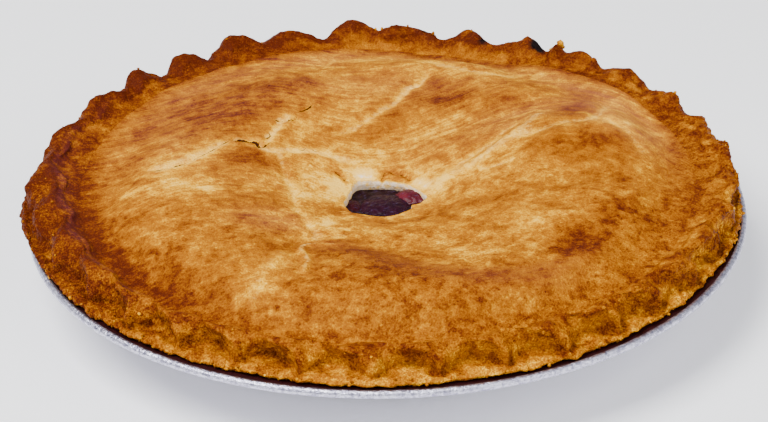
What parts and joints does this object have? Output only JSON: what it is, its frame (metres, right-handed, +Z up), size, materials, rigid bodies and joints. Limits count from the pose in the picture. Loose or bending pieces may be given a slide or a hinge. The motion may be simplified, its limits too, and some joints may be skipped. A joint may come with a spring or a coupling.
{
  "type": "cherry pie",
  "caption": "Whole baked cherry pie in its shallow foil tin, with a fluted golden rim, a humped lid and an open vent showing the cherry filling",
  "frame": {"origin": "centre of the tin's flat base, on the surface it stands on", "axes": "+Z is up out of the pie; -Y is the side seen in the picture; +X is to the right in the picture"},
  "size_m": [0.2305, 0.2286, 0.0407],
  "materials": {
    "foil": "bright rolled foil with fine creases",
    "pastry": "baked shortcrust, golden to brown, faintly glossy where browned",
    "filling": "dark glossy cherries in set juice"
  },
  "bodies": {
    "root": {"pie_tin": "foil", "crust": "pastry", "cherry_filling": "filling"}
  },
  "joints": []
}
